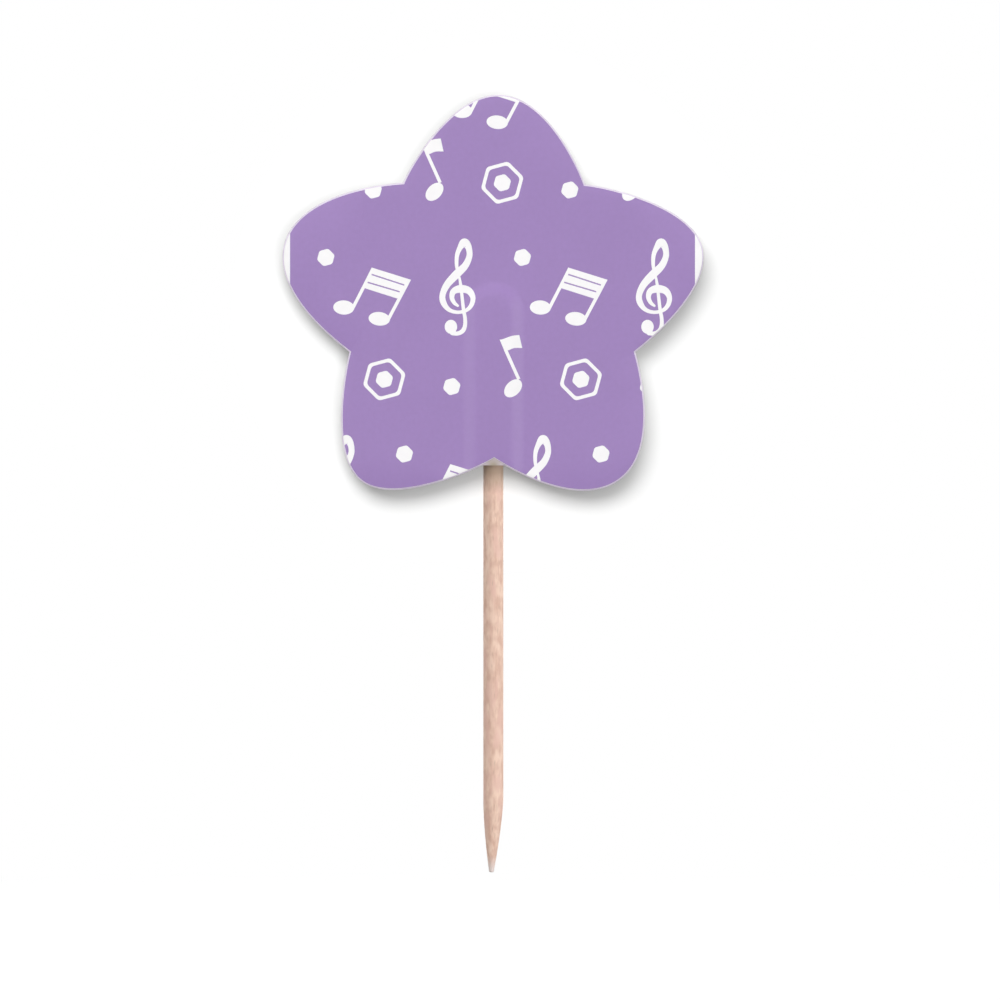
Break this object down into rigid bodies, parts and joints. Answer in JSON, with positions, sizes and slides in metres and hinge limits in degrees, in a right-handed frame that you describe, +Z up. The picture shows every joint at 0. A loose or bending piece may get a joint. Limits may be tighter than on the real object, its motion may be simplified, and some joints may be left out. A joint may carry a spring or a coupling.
{
  "type": "cupcake pick",
  "caption": "Flat puffy star of layered card, printed with music motifs, glued round a pointed wooden stick that is pushed into a cupcake.",
  "frame": {"origin": "on the stick's axis, level with the point of the stick", "axes": "+Z up along the stick towards the star, -Y out of the printed face, +X to the viewer's right"},
  "size_m": [0.0432, 0.0029, 0.0798],
  "materials": {
    "label_print": "matte",
    "front_card": "matte",
    "adhesive": "satin",
    "stick_wood": "matte",
    "back_card": "matte"
  },
  "bodies": {
    "root": {"printed_label": "label_print", "front_card": "front_card", "adhesive": "adhesive", "stick": "stick_wood", "back_card": "back_card"}
  },
  "joints": []
}
